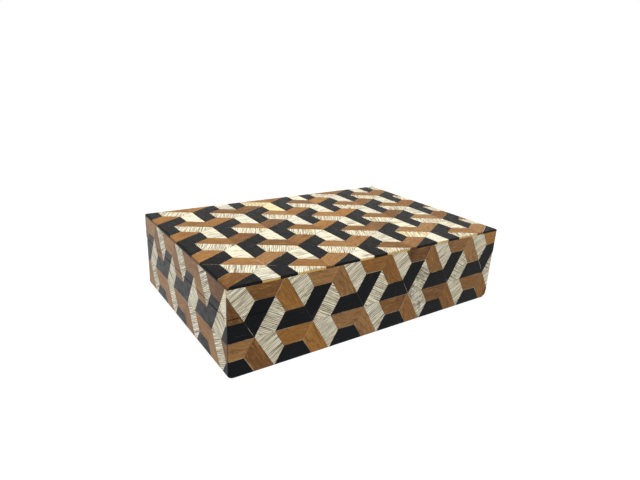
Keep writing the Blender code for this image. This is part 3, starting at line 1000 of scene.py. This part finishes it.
# %% [markdown]
# ## The boards inside
# Under the tiles the box is made of plain pale boards, seen on the inner walls, on the rims of tray and lid
# and between the hinges. The grain runs along each board, so there is one finish for boards that run along
# the box, one for those that run across it, and one for the broad lid panel and floor. Growth lines come
# from noise that is squeezed across the board, with fine pores on top and patches of dirt.

# %% Finish the boards
def board_finish(name, grain):
    """Wood whose grain runs along the direction in which the grain's number is smallest.

    The patterns are noise of the place times those three numbers, and the fibres and pores are finer.
    """
    material, graph = new_finish(name)
    spot = graph.add("ShaderNodeTexCoord").outputs["Object"]
    run = graph.vector("MULTIPLY", spot, grain)
    sway = graph.noise(graph.vector("MULTIPLY", run, (0.3, 0.3, 0.3)), 1.0, 2.0)
    shift = {axis: graph.maths("MULTIPLY", sway, 4.0) for axis in range(3)}
    run = graph.vector("ADD", run, graph.add("ShaderNodeCombineXYZ", shift).outputs[0])
    rings = graph.noise(run, 1.0, 4.0, 0.6)
    fine_place, pore_place = (
        graph.vector("MULTIPLY", spot, tuple(times * v for v in grain)) for times in (7, 13))
    fibres = graph.noise(fine_place, 1.0, 3.0, 0.6)
    pore = graph.step(graph.noise(pore_place, 1.0, 1.0), 0.62, 0.68)
    wood = graph.mix(graph.step(rings, 0.36, 0.66), (0.50, 0.315, 0.155), (0.335, 0.185, 0.080))
    wood = graph.mix(graph.step(fibres, 0.5, 0.75, 0.0, 0.45), wood, (0.235, 0.12, 0.05))
    wood = graph.mix(graph.maths("MULTIPLY", pore, 0.5), wood, (0.10, 0.05, 0.025))
    dirt = graph.noise(spot, 42.0, 4.0, 0.6)
    wood = graph.mix(graph.step(dirt, 0.52, 0.75, 0.0, 0.35), wood, (0.20, 0.13, 0.08))
    roughness = graph.step(fibres, 0.3, 0.7, 0.42, 0.60)
    relief = graph.bump(graph.maths("SUBTRACT", fibres, pore), 0.25, 0.0001)
    shade(graph, Base_Color=wood, Roughness=roughness, Normal=relief, IOR=1.45, Specular_IOR_Level=0.3)
    return material


board_long = board_finish("pale wood, grain along the box", (12.0, 260.0, 260.0))
board_cross = board_finish("pale wood, grain across the box", (260.0, 12.0, 260.0))
board_broad = board_finish("pale wood, broad board", (10.0, 120.0, 260.0))


def finish_plain(finish, *names):
    """Give plain solids a better finish in the slot that they already have, and say how many."""
    for name in names:
        solid = frame["nodes"][name]
        solid.material_slots[0].link = "DATA"
        solid.data.materials[0] = finish
    print(finish.name, "on", len(names), "solids")


finish_plain(board_long, "base_front_wall", "base_back_wall", "lid_front_rail", "lid_back_rail")
finish_plain(board_cross, "base_left_wall", "base_right_wall", "lid_left_rail", "lid_right_rail")
finish_plain(board_broad, "base_floor_board", "lid_panel")

# %% [markdown]
# ## Felt
# The tray and the lid are lined with dark red felt, and a black felt pad under the box keeps it from
# scratching a table. Felt is pressed wool without a weave: short fibres in all directions, a little fluff
# that catches light at the edges (the sheen), and broad worn patches.

# %% Finish the felt
def felt_finish(name, dark, light, sheen):
    """Pressed wool: fine noise warped by itself for the fibres, over broad soft noise for wear."""
    material, graph = new_finish(name)
    spot = graph.add("ShaderNodeTexCoord").outputs["Object"]
    fibres = graph.noise(spot, 1700.0, 3.0, 0.7, 1.6)
    nap = graph.noise(spot, 420.0, 3.0, 0.6, 0.6)
    wear = graph.noise(spot, 24.0, 3.0, 0.5)
    wool = graph.mix(graph.step(fibres, 0.32, 0.70), dark, light)
    wool = graph.mix(graph.step(nap, 0.5, 0.75, 0.0, 0.5), wool, dark)
    wool = graph.mix(graph.step(wear, 0.5, 0.75, 0.0, 0.35), wool, light)
    lint = graph.step(graph.noise(graph.vector("MULTIPLY", spot, (1.0, 0.15, 1.0)), 1300.0, 0.0), 0.80, 0.83)
    wool = graph.mix(graph.maths("MULTIPLY", lint, 0.22), wool, (0.4, 0.4, 0.38))
    relief = graph.bump(graph.maths("ADD", fibres, nap), 0.6, 0.0002)
    shade(
        graph, Base_Color=wool, Roughness=0.95, Normal=relief, Specular_IOR_Level=0.15,
        Sheen_Weight=sheen, Sheen_Roughness=0.5)
    return material


lining_felt = felt_finish("dark red felt", (0.060, 0.010, 0.009), (0.150, 0.030, 0.024), 0.35)
pad_felt = felt_finish("black felt", (0.008, 0.008, 0.008), (0.030, 0.030, 0.029), 0.25)
finish_plain(lining_felt, "base_floor_lining", "lid_lining")
print("felts:", lining_felt.name, "and", pad_felt.name)

# %% [markdown]
# The pad is a flat sheet inside the skirt of tiles, with its corners cut round. Its outline is four quarter
# circles: a corner's centre plus (R cos t, R sin t). The same outline serves for its top and its underside.

# %% Cut the pad
PAD_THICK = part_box("underside_felt")[1].z
PAD_INSET = THICK + FOOT_GAP
PAD_CORNER = 0.004
CORNER_STEPS = 9

corner_centre = np.array([LENGTH, DEPTH]) / 2 - PAD_INSET - PAD_CORNER
signs = np.repeat([(1, 1), (-1, 1), (-1, -1), (1, -1)], CORNER_STEPS, axis=0)
quarter = np.linspace(0, math.pi / 2, CORNER_STEPS)
angles = (quarter[None] + np.arange(4)[:, None] * math.pi / 2).ravel()
outline = signs * corner_centre + PAD_CORNER * np.stack([np.cos(angles), np.sin(angles)], axis=1)
count = len(outline)
pad_corners = np.concatenate([
    np.column_stack([outline, np.full(count, height)]) for height in (0.0, PAD_THICK)])
lower = np.arange(count)
after = np.roll(lower, -1)
side_faces = np.stack([lower, after, after + count, lower + count], axis=1)
pad_faces = [lower[::-1].tolist(), (lower + count).tolist(), *side_faces.tolist()]
pad = mesh_piece("underside_pad", pad_corners, pad_faces, pad_felt)
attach(pad, "box_base")
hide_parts("underside_felt")
print("pad thickness in mm:", round(1000 * PAD_THICK, 2))

# %% [markdown]
# ## Brass
# The hinges are stamped from brass sheet with a drawn wire pin, and their screws are turned brass. Rolling
# leaves fine lines along the leaf, and air and fingers leave brown tarnish, most in the corners. The screw
# heads are a little darker than the leaves.

# %% Finish the brass
def brass_finish(name, tint, rolled):
    """Metal with stretched noise for the rolling lines and broad noise for tarnish."""
    material, graph = new_finish(name)
    spot = graph.add("ShaderNodeTexCoord").outputs["Object"]
    lines = graph.noise(graph.vector("MULTIPLY", spot, rolled), 1.0, 3.0, 0.7)
    tarnish = graph.noise(spot, 210.0, 4.0, 0.65)
    speck = graph.step(graph.noise(spot, 1500.0, 2.0), 0.64, 0.72)
    metal = graph.mix(graph.step(tarnish, 0.42, 0.72, 0.0, 0.75), tint, (0.26, 0.155, 0.055))
    metal = graph.mix(graph.maths("MULTIPLY", speck, 0.5), metal, (0.10, 0.06, 0.03))
    dulled = graph.step(tarnish, 0.35, 0.75, 0.24, 0.50)
    roughness = graph.maths("ADD", dulled, graph.maths("MULTIPLY", lines, 0.1))
    relief = graph.bump(lines, 0.2, 0.00003)
    shade(graph, Base_Color=metal, Metallic=1.0, Roughness=roughness, Normal=relief)
    return material


leaf_brass = brass_finish("rolled brass", (0.72, 0.50, 0.20), (60.0, 5000.0, 5000.0))
screw_brass = brass_finish("turned brass", (0.62, 0.42, 0.17), (3000.0, 3000.0, 3000.0))
for side in ("left", "right"):
    finish_plain(leaf_brass, f"{side}_hinge_base_leaf", f"{side}_hinge_lid_leaf", f"{side}_hinge_pin")
    for part in ("base", "lid"):
        finish_plain(screw_brass, f"{side}_hinge_{part}_outer_screw", f"{side}_hinge_{part}_inner_screw")

# %% [markdown]
